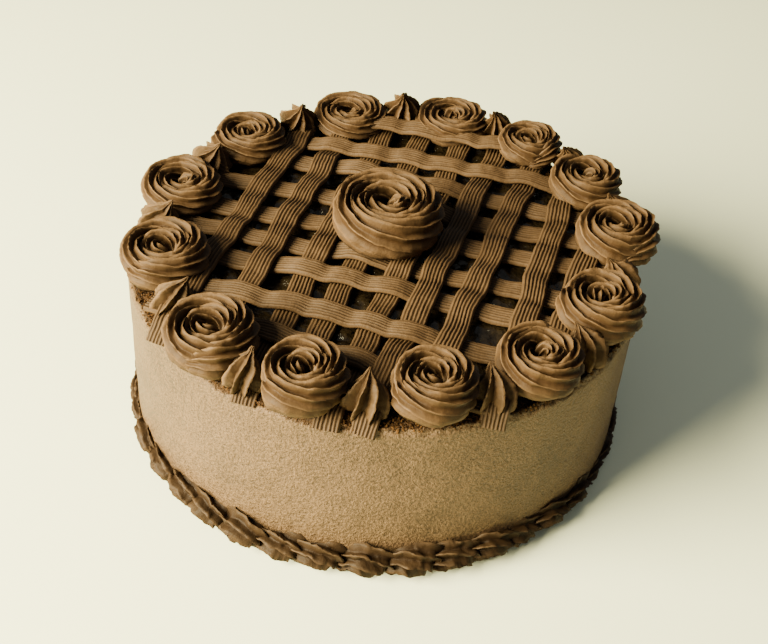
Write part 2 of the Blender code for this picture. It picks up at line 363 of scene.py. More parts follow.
def grow(name, source, tree, values):
    """Runs a node tree on a curve or a mesh and keeps the result as a plain mesh object."""
    carrier = bpy.data.objects.new(name + "_path", source)
    bpy.context.scene.collection.objects.link(carrier)
    modifier = carrier.modifiers.new("grow", "NODES")
    modifier.node_group = tree
    for item in tree.interface.items_tree:
        if item.item_type == "SOCKET" and item.in_out == "INPUT" and item.name in values:
            modifier[item.identifier] = values[item.name]
    graph = bpy.context.evaluated_depsgraph_get()
    mesh = bpy.data.meshes.new_from_object(
        carrier.evaluated_get(graph), preserve_all_data_layers=True, depsgraph=graph)
    carrier.modifiers.remove(modifier)
    bpy.data.objects.remove(carrier)
    if not mesh.polygons:
        raise ValueError(f"{name} has no faces")
    mesh.name = name
    return link_mesh(name, mesh)


def link_mesh(name, mesh):
    made = bpy.data.objects.new(name, mesh)
    bpy.context.scene.collection.objects.link(made)
    return made


def add_piece(piece, slot, *nodes):
    """The piece rides on the cake and stands for these CAD nodes, which are hidden. The slot is
    not used.
    """
    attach(piece, "root")
    if nodes:
        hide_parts(*nodes)


# ---------------------------------------------------------------- shared node trees
def uneven(tree, geometry, amount, size, seed):
    """Moves every point by slow wavering and by a third as much of fine wavering."""
    place = Field(tree, tree.nodes.new("GeometryNodeInputPosition").outputs[0])
    shifted = add_node(tree, "ShaderNodeVectorMath", {
        0: place, 1: vector(tree, seed, seed * 0.37, seed * 0.71)}, operation="ADD")
    moved = geometry
    for part, finer in ((1.0, 1.0), (0.30, 4.0)):
        wave = add_node(tree, "ShaderNodeTexNoise", {
            "Vector": shifted.outputs[0], "Scale": size.math("POWER", -1.0) * finer,
            "Detail": 2.0, "Roughness": 0.5})
        centred = add_node(tree, "ShaderNodeVectorMath", {
            0: wave.outputs["Color"], 1: (-0.5, -0.5, -0.5)}, operation="ADD")
        scaled = add_node(tree, "ShaderNodeVectorMath", {
            0: centred.outputs[0], "Scale": amount * (2.0 * part)}, operation="SCALE")
        moved = add_node(tree, "GeometryNodeSetPosition", {
            "Geometry": moved, "Offset": scaled.outputs[0]}).outputs["Geometry"]
    return moved


def sweep(tree, path, profile):
    """The profile carried along the path with closed ends. A point's radius scales it."""
    length = tree.nodes.new("GeometryNodeSplineParameter").outputs["Length"]
    marked = add_node(tree, "GeometryNodeStoreNamedAttribute", {
        "Geometry": path, "Name": "along", "Value": length})
    radius = tree.nodes.new("GeometryNodeInputRadius").outputs[0]
    swept = add_node(tree, "GeometryNodeCurveToMesh", {
        "Curve": marked.outputs["Geometry"], "Profile Curve": profile, "Scale": radius,
        "Fill Caps": True})
    return swept.outputs["Mesh"]


def mark(tree, geometry, name, value):
    made = add_node(tree, "GeometryNodeStoreNamedAttribute", {
        "Geometry": geometry, "Name": name, "Value": value})
    return made.outputs["Geometry"]


def smooth(tree, geometry):
    made = add_node(tree, "GeometryNodeSetShadeSmooth", {"Geometry": geometry})
    return made.outputs["Geometry"]


def rope_tree():
    """Frosting from a star tip: thin crests with scooped grooves between them."""
    found = bpy.data.node_groups.get("piped_rope")
    if found:
        return found
    tree, given = new_tree("piped_rope", (
        ("Crests", "Float"), ("Groove Depth", "Float"), ("Groove Shape", "Float"),
        ("Sides", "Int"), ("Foot", "Float"), ("Stretch", "Float"), ("Unevenness", "Float"),
        ("Waver Size", "Float"), ("Seed", "Float"), ("Material", "Material")))
    sides = given["Sides"]
    circle = add_node(tree, "GeometryNodeCurvePrimitiveCircle", {
        "Resolution": sides, "Radius": 1.0})
    index = Field(tree, tree.nodes.new("GeometryNodeInputIndex").outputs[0])
    angle = index * TURN / sides
    groove = (angle * given["Crests"] * 0.5).math("SINE").math("ABSOLUTE")
    groove = groove ** given["Groove Shape"]
    reach = given["Groove Depth"] * groove * -1.0 + 1.0
    shaped = add_node(tree, "GeometryNodeSetPosition", {
        "Geometry": circle.outputs["Curve"],
        "Position": vector(tree, reach * angle.math("COSINE"), reach * angle.math("SINE"), 0.0)})
    profile = mark(tree, shaped.outputs["Geometry"], "crest", groove * -1.0 + 1.0)
    swept = sweep(tree, given["Geometry"], profile)
    place = add_node(tree, "ShaderNodeSeparateXYZ", {
        "Vector": tree.nodes.new("GeometryNodeInputPosition").outputs[0]})
    height = Field(tree, place.outputs["Z"])
    taller = (height - given["Foot"]) * given["Stretch"] + given["Foot"]
    drawn = add_node(tree, "GeometryNodeSetPosition", {
        "Geometry": swept,
        "Position": vector(tree, place.outputs["X"], place.outputs["Y"], taller)})
    moved = uneven(tree, drawn.outputs["Geometry"], given["Unevenness"],
                   given["Waver Size"], given["Seed"])
    close_tree(tree, smooth(tree, moved), given["Material"])
    return tree


def ribbon_tree():
    """Frosting from a flat ribbed tip: rounded ridges with narrow grooves on its top."""
    found = bpy.data.node_groups.get("piped_ribbon")
    if found:
        return found
    tree, given = new_tree("piped_ribbon", (
        ("Width", "Float"), ("Thickness", "Float"), ("Ridges", "Float"),
        ("Ridge Depth", "Float"), ("Sides", "Int"), ("Unevenness", "Float"),
        ("Waver Size", "Float"), ("Seed", "Float"), ("Material", "Material")))
    sides = given["Sides"]
    circle = add_node(tree, "GeometryNodeCurvePrimitiveCircle", {
        "Resolution": sides, "Radius": 1.0})
    index = Field(tree, tree.nodes.new("GeometryNodeInputIndex").outputs[0])
    share = index / sides
    # across runs from 1 to -1 under the ribbon and back to 1 over its top.
    across = (share * -2.0 + 1.0).math("ABSOLUTE") * 2.0 - 1.0
    on_top = share.math("GREATER_THAN", 0.5)
    rounding = ((across.math("ABSOLUTE") ** 5.0) * -1.0 + 1.0) ** 0.5
    ridge = ((across + 1.0) * 0.5 * given["Ridges"] * math.pi).math("SINE").math("ABSOLUTE")
    groove = (ridge ** 0.55 * -1.0 + 1.0) * on_top
    half = given["Thickness"] * 0.5
    up = half * rounding - given["Ridge Depth"] * groove * rounding
    down_sign = on_top * -2.0 + 1.0
    shaped = add_node(tree, "GeometryNodeSetPosition", {
        "Geometry": circle.outputs["Curve"],
        "Position": vector(tree, across * given["Width"] * 0.5, up * down_sign, 0.0)})
    profile = mark(tree, shaped.outputs["Geometry"], "crest", groove * -1.0 + 1.0)
    swept = sweep(tree, given["Geometry"], profile)
    moved = uneven(tree, swept, given["Unevenness"], given["Waver Size"], given["Seed"])
    close_tree(tree, smooth(tree, moved), given["Material"])
    return tree


def crumb_tree():
    """Small broken crumbs scattered over a surface."""
    found = bpy.data.node_groups.get("scattered_crumbs")
    if found:
        return found
    tree, given = new_tree("scattered_crumbs", (
        ("Density", "Float"), ("Crumb Size", "Float"), ("Seed", "Int"),
        ("Material", "Material")))
    spots = add_node(tree, "GeometryNodeDistributePointsOnFaces", {
        "Mesh": given["Geometry"], "Density": given["Density"], "Seed": given["Seed"]})
    ball = add_node(tree, "GeometryNodeMeshIcoSphere", {
        "Radius": given["Crumb Size"], "Subdivisions": 2})
    size = add_node(tree, "FunctionNodeRandomValue", {
        "Min": (0.35, 0.35, 0.30), "Max": (1.5, 1.2, 0.9), "Seed": 3},
        data_type="FLOAT_VECTOR")
    turned = add_node(tree, "FunctionNodeRandomValue", {
        "Min": (0.0, 0.0, 0.0), "Max": (TURN, TURN, TURN), "Seed": 5},
        data_type="FLOAT_VECTOR")
    placed = add_node(tree, "GeometryNodeInstanceOnPoints", {
        "Points": spots.outputs["Points"], "Instance": ball.outputs["Mesh"],
        "Rotation": turned.outputs["Value"], "Scale": size.outputs["Value"]})
    real = add_node(tree, "GeometryNodeRealizeInstances", {
        "Geometry": placed.outputs["Instances"]})
    broken = uneven(tree, real.outputs["Geometry"], given["Crumb Size"] * 0.55,
                    given["Crumb Size"] * 1.6, given["Seed"])
    close_tree(tree, broken, given["Material"])
    return tree


# ---------------------------------------------------------------- finishes
def new_finish(name):
    """An empty material: its tree, its Principled shader and its Object coordinates."""
    made = bpy.data.materials.new(name)
    made.use_nodes = True
    tree = made.node_tree
    shader = tree.nodes["Principled BSDF"]
    place = tree.nodes.new("ShaderNodeTexCoord").outputs["Object"]
    return made, tree, shader, place


def grain(tree, place, scale, detail=3.0, roughness=0.55):
    made = add_node(tree, "ShaderNodeTexNoise", {
        "Vector": place, "Scale": scale, "Detail": detail, "Roughness": roughness})
    return Field(tree, made.outputs["Fac"])


def blend_colour(tree, share, first, second, blend_type="MIX"):
    """Mixes two colours. The colour sockets of this node have no names of their own."""
    made = add_node(tree, "ShaderNodeMix", data_type="RGBA", blend_type=blend_type)
    feed(tree, made.inputs[0], share)
    for index, colour in ((6, first), (7, second)):
        plain = not isinstance(colour, bpy.types.NodeSocket)
        feed(tree, made.inputs[index], (*colour, 1.0) if plain else colour)
    return made.outputs[2]


def shade(colour, factor):
    return tuple(min(1.0, channel * factor) for channel in colour)


def named(tree, name):
    made = add_node(tree, "ShaderNodeAttribute", attribute_name=name)
    return Field(tree, made.outputs["Fac"])


def bump(tree, shader, layers):
    """Stacks (height, depth in metres, strength) layers into the shader's normal."""
    normal = None
    for height, depth, strength in layers:
        made = add_node(tree, "ShaderNodeBump", {
            "Height": height, "Distance": depth, "Strength": strength})
        if normal:
            tree.links.new(normal, made.inputs["Normal"])
        normal = made.outputs["Normal"]
    tree.links.new(normal, shader.inputs["Normal"])


def wall_finish(settings):
    """Smoothed frosting: a fine pebbled grain, painted glints as pale specks and a torn dark
    lip.
    """
    found = bpy.data.materials.get("smooth_frosting")
    if found:
        return found
    made, tree, shader, place = new_finish("smooth_frosting")
    broad = grain(tree, place, 38.0, 3.0)
    fine = grain(tree, place, 760.0, 2.0, 0.7)
    # Painted glints: pale specks in the colour stand in for light glinting off the grain.
    painted_glint = grain(tree, place, 1300.0, 1.0).clamped(0.58, 0.70)
    wall = settings.wall_colour
    tone = (broad * 0.25 + fine * 0.75).clamped(0.36, 0.64)
    colour = blend_colour(tree, tone, shade(wall, 0.48), shade(wall, 1.46))
    colour = blend_colour(tree, painted_glint * 0.5, colour, shade(wall, 2.0))
    torn = named(tree, "torn")
    crumbly = blend_colour(tree, fine.clamped(0.35, 0.7), shade(settings.lip_colour, 0.6),
                           shade(settings.lip_colour, 1.9))
    feed(tree, shader.inputs["Base Color"], blend_colour(tree, torn, colour, crumbly))
    feed(tree, shader.inputs["Roughness"], fine * 0.20 + 0.45)
    shader.inputs["Specular IOR Level"].default_value = 0.16
    bump(tree, shader, (
        (broad, 0.0012, 0.35), (fine, 0.0010, 1.0), (torn * fine, 0.0015, 0.8)))
    return made


def piping_finish(name, settings, strength=1.0):
    """Piped frosting: painted highlights on the thin crests, painted shade in the grooves, fine
    wrinkles across the rope. A strength below 1 makes a darker copy, painted shade.
    """
    found = bpy.data.materials.get(name)
    if found:
        return found
    made, tree, shader, place = new_finish(name)
    crest = named(tree, "crest")
    along = named(tree, "along")
    broad = grain(tree, place, 120.0, 2.0)
    fine = grain(tree, place, 1400.0, 3.0, 0.6)
    wrinkled = grain(tree, vector(tree, along * 900.0, crest * 1.5, broad * 4.0), 1.0, 2.0)
    # Painted shade towards the bottoms of the grooves.
    low = crest.clamped(0.0, 0.42)
    # Painted highlight along the thin crests.
    high = (crest + (fine - 0.5) * 0.22).clamped(0.70, 1.0)
    groove, body, pale = (shade(colour, strength) for colour in (
        settings.groove_shade_colour, settings.body_colour, settings.crest_highlight_colour))
    colour = blend_colour(tree, low, groove, body)
    colour = blend_colour(tree, high * 0.85, colour, pale)
    mottled = blend_colour(tree, (broad * 0.6 + fine * 0.4).clamped(0.36, 0.64),
                           (0.80, 0.79, 0.77), (1.14, 1.14, 1.14))
    feed(tree, shader.inputs["Base Color"],
         blend_colour(tree, 1.0, colour, mottled, "MULTIPLY"))
    feed(tree, shader.inputs["Roughness"], fine * 0.20 + 0.50)
    shader.inputs["Specular IOR Level"].default_value = 0.11
    bump(tree, shader, (
        (broad, 0.0012, 0.5), (wrinkled, 0.0004, 0.35), (fine, 0.0003, 0.5)))
    return made


def fruit_finish(settings):
    """Near-black fruit gel with a wet gloss and a few reddish translucent spots."""
    found = bpy.data.materials.get("fruit_gel")
    if found:
        return found
    made, tree, shader, place = new_finish("fruit_gel")
    broad = grain(tree, place, 160.0, 3.0)
    fine = grain(tree, place, 620.0, 2.0)
    colour = blend_colour(tree, (broad * 0.7 + fine * 0.3).clamped(0.42, 0.70),
                          settings.colour, shade(settings.colour, 3.5))
    feed(tree, shader.inputs["Base Color"], colour)
    feed(tree, shader.inputs["Roughness"], fine * 0.16 + 0.08)
    shader.inputs["Specular IOR Level"].default_value = 0.16
    shader.inputs["Coat Weight"].default_value = 0.35
    shader.inputs["Coat Roughness"].default_value = 0.05
    bump(tree, shader, ((broad, 0.0022, 0.8), (fine, 0.0010, 0.9)))
    return made


def crumb_finish(settings):
    """Dry dark cake crumb, rough and mottled."""
    found = bpy.data.materials.get("cake_crumb")
    if found:
        return found
    made, tree, shader, place = new_finish("cake_crumb")
    fine = grain(tree, place, 1900.0, 3.0)
    broad = grain(tree, place, 300.0, 2.0)
    colour = blend_colour(tree, (fine * 0.5 + broad * 0.5).clamped(0.38, 0.62),
                          shade(settings.lip_colour, 0.5), shade(settings.lip_colour, 2.2))
    feed(tree, shader.inputs["Base Color"], colour)
    feed(tree, shader.inputs["Roughness"], fine * 0.2 + 0.7)
    shader.inputs["Specular IOR Level"].default_value = 0.10
    bump(tree, shader, ((fine, 0.0005, 0.8),))
    return made


def floor_finish(settings):
    """A plain pale floor with the faintest mottling."""
    made, tree, shader, place = new_finish("pale_floor")
    broad = grain(tree, place, 3.0, 2.0)
    colour = blend_colour(tree, broad, shade(settings.floor_colour, 0.98), settings.floor_colour)
    feed(tree, shader.inputs["Base Color"], colour)
    feed(tree, shader.inputs["Roughness"], broad * 0.1 + 0.45)
    return made


# ---------------------------------------------------------------- places and paths
def ease(share):
    """Runs from 0 to 1 as the share does, level at both ends."""
    share = min(1.0, max(0.0, share))
    return share * share * (3.0 - 2.0 * share)


def mix(first, second, share):
    return first + (second - first) * share


def piping_path(name, strands, twist="Z_UP"):
    """A curve with one spline for each strand of (place, radius, tilt) stations."""
    curve = bpy.data.curves.new(name, "CURVE")
    curve.dimensions = "3D"
    curve.twist_mode = twist
    for strand in strands:
        spline = curve.splines.new("POLY")
        spline.points.add(len(strand) - 1)
        for point, (place, radius, tilt) in zip(spline.points, strand):
            point.co = (*place, 1.0)
            point.radius = radius
            point.tilt = tilt
    return curve


def pipe_rope(name, strands, tip, values, twist="Z_UP"):
    """Pipes strands as one piece. The tip's settings give its crests and its grooves."""
    shape = {"Crests": float(tip.crests), "Groove Depth": tip.groove_depth,
             "Groove Shape": tip.groove_shape, "Sides": PROFILE_SIDES,
             "Foot": 0.0, "Stretch": 1.0}
    return grow(name, piping_path(name, strands, twist), rope_tree(), {**shape, **values})


def box_middle(node):
    """Middle of a CAD node seen from above, its foot height, half width and height."""
    low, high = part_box(node)
    half = ((high.x - low.x) + (high.y - low.y)) / 4.0
    return (low + high) / 2.0, low.z, half, high.z - low.z


def rosette_strand(node, start, turns, rope_in, rope_out, stretch, twist):
    """Rope path of a rosette, clockwise from its low middle to its high outer round. The
    crests turn slowly about the rope, so they run inwards at a shallow angle."""
    middle, foot, half, height = box_middle(node)
    inner = rope_in * 0.30
    outer = half - rope_out * 0.90
    steps = round(turns * ROPE_STEPS)
    strand = []
    for k in range(steps + 1):
        share = k / steps
        round_angle = share * turns * TURN
        angle = start * TURN - round_angle
        rope = mix(rope_in, rope_out, ease(share * 1.6))
        out = mix(inner, outer, 1.0 - (1.0 - share) ** 2.0)
        top = height * mix(0.92, 1.0, ease(share * 1.5)) / stretch
        # The rope starts thin and low. At its end it thins again and sinks to the rim.
        begin = ease(share / 0.08)
        tail = max(0.0, (share - 0.93) / 0.07)
        up = (top - rope) * (1.0 - 0.45 * tail) - 0.003 * (1.0 - begin)
        rope *= mix(0.42, 1.0, begin) * (1.0 - 0.85 * tail ** 1.5)
        place = Vector((middle.x + out * math.cos(angle), middle.y + out * math.sin(angle),
                        foot + up))
        strand.append((place, rope, twist * round_angle + start * 5.0))
    return strand


def star_strand(node, radius):
    """A drop of frosting: a flared skirt over the rim that draws up and in to a peak."""
    middle, foot, _, height = box_middle(node)
    outward = Vector((middle.x, middle.y, 0.0)).normalized()
    taller = height / STAR_OUTLINE_TOP
    strand = []
    for (out0, up0, wide0), (out1, up1, wide1) in zip(STAR_OUTLINE, STAR_OUTLINE[1:]):
        for k in range(STAR_STEPS):
            share = k / STAR_STEPS
            place = Vector((middle.x, middle.y, foot)) + outward * mix(out0, out1, share)
            place.z += mix(up0, up1, share) * taller
            strand.append((place, radius * mix(wide0, wide1, share), 0.02 * len(strand)))
    return strand


def ribbon_line(node):
    """Middle and heading of a CAD ribbon seen from above."""
    places = [v.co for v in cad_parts[node].data.vertices]
    count = len(places)
    mx = sum(p.x for p in places) / count
    my = sum(p.y for p in places) / count
    xx = sum((p.x - mx) ** 2 for p in places)
    yy = sum((p.y - my) ** 2 for p in places)
    xy = sum((p.x - mx) * (p.y - my) for p in places)
    heading = 0.5 * math.atan2(2.0 * xy, xx - yy)
    return Vector((mx, my)), Vector((math.cos(heading), math.sin(heading)))


def meeting(line, other):
    """Distance along the first line to where it meets the other."""
    (p, d), (q, e) = line, other
    gap = q - p
    return (gap.x * e.y - gap.y * e.x) / (d.x * e.y - d.y * e.x)


def beside(line, gap):
    """A line parallel to this one, farther from the middle of the cake."""
    middle, heading = line
    away = middle - heading * middle.dot(heading)
    return middle + away.normalized() * gap, heading


def in_notch(place):
    """Whether a place on the rim is clear of every rosette."""
    for node in ROSETTE_NODES:
        centre, _, half, _ = box_middle(node)
        if math.hypot(place.x - centre.x, place.y - centre.y) < 0.98 * half:
            return False
    return True


def ribbon_ends(middle, heading, near_side):
    """Distances along the line to its two ends. A near end in a notch hangs over the rim."""
    along = middle.dot(heading)
    off = (middle - heading * along).length
    ends = []
    for sign in (-1.0, 1.0):
        chord = math.sqrt(CAKE_RADIUS ** 2 - off ** 2)
        rim = middle + heading * (sign * chord - along)
        hangs = near_side and rim.y < -0.55 * CAKE_RADIUS and in_notch(rim)
        reach = CAKE_RADIUS + (0.0002 if hangs else -0.0060)
        ends.append(sign * math.sqrt(max(1e-6, reach ** 2 - off ** 2)) - along)
    return ends


def woven_levels(meets, low, high, base, settings):
    """Heights of a ribbon along its line: level over each crossing, sagging between two
    crossings on the same level."""
    levels = [(low, base)]
    hold = settings.width * 0.26        # half of the level stretch over a crossing
    for s, up in meets:
        if not low + hold < s < high - hold:
            continue
        z = base + (settings.lift if up else 0.0)
        last_s, last_z = levels[-1]
        if s - hold - last_s > 0.004:
            dip = settings.sag if min(last_z, z) > base else 0.25 * settings.sag
            same = abs(last_z - z) < 1e-6
            levels.append(((last_s + s - hold) / 2.0, (last_z + z) / 2.0 - dip * same))
        levels.extend(((s - hold, z), (s + hold, z)))
    levels.append((high, base))
    return levels


def ribbon_strand(line, others, over, settings, rng, raised):
    """Stations of a woven ribbon that sways a little and bends down over the rim."""
    middle, heading = line
    base = CAKE_TOP + 0.0004 + settings.thickness / 2.0 + raised
    low, high = ribbon_ends(middle, heading, abs(heading.y) > abs(heading.x))
    meets = sorted((meeting(line, other), up) for other, up in zip(others, over))
    levels = woven_levels(meets, low, high, base, settings)
    strand = []
    count = int((high - low) / RIBBON_STEP)
    phase = rng.uniform(0.0, TURN)
    for k in range(count + 1):
        s = low + (high - low) * k / count
        z = level_at(levels, s)
        sway = 0.0005 * math.sin(s * 95.0 + phase) + 0.0003 * math.sin(s * 213.0 + 2.0 * phase)
        place = middle + heading * s + Vector((-heading.y, heading.x)) * sway
        # Towards the rim it droops, faster the farther out it is.
        droop = max(0.0, place.length - (CAKE_RADIUS - 0.009))
        z -= 62.0 * droop * droop + 0.35 * raised * ease(droop / 0.009)
        wide = 1.0 + 0.035 * math.sin(s * 140.0 + phase)
        strand.append([Vector((place.x, place.y, z)), wide, 0.05 * math.sin(s * 61.0 + phase)])
    return soften(strand, 3)


def level_at(levels, s):
    """Height at one place along a ribbon, eased from each level to the next."""
    for (s0, z0), (s1, z1) in zip(levels, levels[1:]):
        if s <= s1:
            return mix(z0, z1, ease((s - s0) / max(s1 - s0, 1e-9)))
    return levels[-1][1]


def soften(strand, rounds):
    """Rounds off the heights along a strand."""
    for _ in range(rounds):
        heights = [place.z for place, _, _ in strand]
        for k in range(1, len(strand) - 1):
            strand[k][0].z = (heights[k - 1] + 2.0 * heights[k] + heights[k + 1]) / 4.0
    return strand


def shell_strand(index, settings, rng):
    """One shell of the border: a blunt full head that draws out to a tail, clockwise."""
    pitch = TURN / settings.shells
    start = index * pitch + math.radians(5.0) + rng.uniform(-0.12, 0.12) * pitch
    # Smaller all along the far side of the cake, and a little larger at the very front.
    far = ease((math.sin(start) + 0.58) / 0.22)
    near = ease((-0.72 - math.sin(start)) / 0.22)
    full = settings.rope_radius * rng.uniform(0.91, 1.04)
    full *= mix(1.0, settings.far_size, far) * mix(1.0, 1.12, near)
    tilt = rng.uniform(-0.35, 0.35)
    strand = []
    for k in range(SHELL_STEPS + 1):
        share = k / SHELL_STEPS
        head = ease(share / 0.10)
        tail = ease((share - 0.45) / 0.55)
        radius = full * mix(0.66, 1.0, head) * mix(1.0, 0.46, tail)
        angle = start - share * pitch * 1.30
        out = CAKE_RADIUS - 0.0026 + 0.0018 * near + 0.0012 * math.sin(share * math.pi)
        up = radius * 0.95 + 0.0012 * math.sin(share * math.pi)
        strand.append((Vector((out * math.cos(angle), out * math.sin(angle), up)),
                       radius, tilt + 1.3 * share))
    return strand


# ---------------------------------------------------------------- meshes made directly
def circle(sides):
    """The corners of a regular polygon in a unit circle."""
    return [(math.cos(TURN * i / sides), math.sin(TURN * i / sides)) for i in range(sides)]


def closed_rings(name, rings, low, high):
    """A closed mesh from rings of equal length between a bottom and a top point."""
    sides = len(rings[0])
    points = [point for ring in rings for point in ring] + [low, high]
    bottom, top = len(points) - 2, len(points) - 1
    last = (len(rings) - 1) * sides
    faces = []
    for i in range(sides):
        j = (i + 1) % sides
        faces.append((bottom, j, i))
        faces.extend((k * sides + i, k * sides + j, (k + 1) * sides + j, (k + 1) * sides + i)
                     for k in range(len(rings) - 1))
        faces.append((top, last + i, last + j))
    mesh = bpy.data.meshes.new(name)
    mesh.from_pydata(points, [], faces)
    mesh.shade_smooth()
    return mesh


def waver(x, y, z, size, seed):
    """Smooth noise from about -1 to 1 with bumps of the given size."""
    return noise.noise(Vector((x / size + seed, y / size - seed, z / size + 2.0 * seed)))


def wall_heights():
    """Shares of the wall's height, closer together near the torn lip."""
    return [0.93 * k / 44 for k in range(44)] + [0.93 + 0.07 * k / 16 for k in range(17)]


def wall_rings(settings):
    """Rings of the coat from the foot over the lip to the recess, and how torn each
    point is."""
    around = circle(WALL_SIDES)
    lip, tear = [], []
    for c, s in around:
        x, y = CAKE_RADIUS * c, CAKE_RADIUS * s
        ragged = waver(x, y, 0.0, 0.0065, 3.0) + 0.6 * waver(x, y, 0.0, 0.0022, 7.0)
        lip.append(CAKE_TOP - 0.0012 + settings.lip_raggedness * ragged)
        # Torn patches of uneven depth, with whole frosting left between them.
        patch = 0.22 + 1.1 * waver(x, y, 0.0, 0.016, 9.0) + 0.5 * waver(x, y, 0.0, 0.0024, 4.0)
        tear.append(settings.tear_depth * min(1.0, max(0.0, patch)))
    rings, torn = [], []
    for share in wall_heights():
        ring, state = [], []
        for (c, s), top, depth in zip(around, lip, tear):
            z = share * top
            x, y = CAKE_RADIUS * c, CAKE_RADIUS * s
            out = settings.unevenness * (
                waver(x, y, z, 0.030, 1.0) + 0.5 * waver(x, y, z, 0.009, 5.0))
            out -= 0.0010 * ease((share - 0.965) / 0.035)
            ripped = ease((z - (top - depth)) / 0.0006 + 0.5) if depth > 0.0 else 0.0
            out -= ripped * (0.0005 + 0.0007 * abs(waver(x, y, z, 0.0014, 6.0)))
            r = CAKE_RADIUS - 0.0004 + out
            ring.append((r * c, r * s, z))
            state.append(ripped)
        rings.append(ring)
        torn.append(state)
    for step, (inward, drop) in enumerate(RIM_OUTLINE):
        ring = []
        for c, s in around:
            rough = 0.0009 * waver(CAKE_RADIUS * c, CAKE_RADIUS * s, step * 0.01, 0.0040, 11.0)
            r = CAKE_RADIUS - inward + 0.5 * rough
            ring.append((r * c, r * s, CAKE_TOP - 0.0006 - drop + rough))
        rings.append(ring)
        torn.append([1.0] * WALL_SIDES)
    return rings, torn


def filling_rings(settings):
    """Rings of the filling: its foot in the recess, then its lumpy top from the edge in."""
    edge = FILLING_RADIUS - 0.0006
    around = circle(FILLING_SIDES)
    rings = [[(edge * c, edge * s, CAKE_TOP - 0.003) for c, s in around]]
    for step in range(FILLING_RINGS):
        r = edge * (1.0 - step / FILLING_RINGS)
        rings.append([(r * c, r * s, CAKE_TOP - 0.0004 + fruit_height(r * c, r * s, settings))
                      for c, s in around])
    return rings


def fruit_height(x, y, settings):
    """Height of the fruit over its mean level: rounded lumps in an uneven gel."""
    place = Vector((x, y, 0.0)) / settings.lump_size
    distances, _ = noise.voronoi(place)
    lump = max(0.0, 1.0 - distances[0] / 0.62)
    return (settings.lump_height * (math.sqrt(lump) - 0.55)
            + 0.0007 * waver(x, y, 0.0, 0.014, 2.0))


# ---------------------------------------------------------------- operators
class CakeFrostingOperator(bpy.types.Operator):
    """Coat the cake with smoothed frosting and leave a torn lip along the top edge"""
    bl_idname = "cake.frosting"
    bl_label = "Frosting"

    def execute(self, context):
        settings = context.scene.cake_frosting
        rings, torn = wall_rings(settings)
        mesh = closed_rings("frosting_coat", rings, (0.0, 0.0, 0.0),
                            (0.0, 0.0, CAKE_TOP - 0.0036))
        layer = mesh.attributes.new("torn", "FLOAT", "POINT")
        values = [value for ring in torn for value in ring] + [0.0, 1.0]
        layer.data.foreach_set("value", values)
        mesh.materials.append(wall_finish(settings))
        add_piece(link_mesh("frosting_coat", mesh), "side_frosting", "frosted_cake")
        return {"FINISHED"}


class CakeCrumbsOperator(bpy.types.Operator):
    """Scatter cake crumbs over the rim between the rosettes"""
    bl_idname = "cake.crumbs"
    bl_label = "Crumbs"

    def execute(self, context):
        settings = context.scene.cake_frosting
        points, faces = [], []
        for i, (c, s) in enumerate(circle(CRUMB_STRIP_SIDES)):
            for inward, drop in CRUMB_STRIP:
                r = CAKE_RADIUS - inward
                points.append((r * c, r * s, CAKE_TOP - drop))
            j = (i + 1) % CRUMB_STRIP_SIDES
            for k in range(2):
                faces.append((3 * i + k, 3 * j + k, 3 * j + k + 1, 3 * i + k + 1))
        rim = bpy.data.meshes.new("rim_strip")
        rim.from_pydata(points, [], faces)
        piece = grow("rim_crumbs", rim, crumb_tree(), {
            "Density": settings.crumb_density, "Crumb Size": settings.crumb_size,
            "Seed": 11, "Material": crumb_finish(settings)})
        add_piece(piece, "side_frosting")
        return {"FINISHED"}


class CakeFillingOperator(bpy.types.Operator):
    """Fill the top with dark lumpy fruit gel"""
    bl_idname = "cake.filling"
    bl_label = "Fruit Filling"

    def execute(self, context):
        settings = context.scene.cake_filling
        rings = filling_rings(settings)
        mesh = closed_rings("fruit_gel", rings, (0.0, 0.0, CAKE_TOP - 0.003),
                            (0.0, 0.0, CAKE_TOP))
        mesh.materials.append(fruit_finish(settings))
        add_piece(link_mesh("fruit_gel", mesh), "fruit_filling", "fruit_filling")
        return {"FINISHED"}


class CakeLatticeOperator(bpy.types.Operator):
    """Pipe ribbed ribbons both ways over the filling, each over or under the others"""
    bl_idname = "cake.lattice"
    bl_label = "Lattice"

    def execute(self, context):
        settings = context.scene.cake_lattice
        along = [ribbon_line(node) for node in ALONG_NODES]
        across = [ribbon_line(node) for node in ACROSS_NODES]
        across[0] = beside(across[1], settings.far_gap)
        weave = [[k + 1 in row for k in range(len(along))] for row in ACROSS_ON_TOP]
        for i, node in enumerate(ALONG_NODES):
            over = [not row[i] for row in weave]
            self.pipe(context, node, along[i], across, over, settings, i)
        for i, node in enumerate(ACROSS_NODES):
            raised = settings.far_raise if i == 0 else 0.0
            self.pipe(context, node, across[i], along, weave[i], settings, i + 40, raised)
        return {"FINISHED"}

    def pipe(self, context, node, line, others, over, settings, seed, raised=0.0):
        piping = context.scene.cake_piping
        rng = random.Random(seed)
        strand = ribbon_strand(line, others, over, settings, rng, raised)
        name = node.replace("ribbon", "lattice")
        piece = grow(name, piping_path(name, [strand]), ribbon_tree(), {
            "Width": settings.width, "Thickness": settings.thickness,
            "Ridges": float(settings.ridges), "Ridge Depth": settings.ridge_depth,
            "Sides": PROFILE_SIDES, "Unevenness": piping.unevenness * 0.35,
            "Waver Size": 0.006, "Seed": 0.31 * seed,
            "Material": piping_finish("ribbon_frosting_painted_shade", piping, settings.shade)})
        add_piece(piece, "piped_frosting", node)


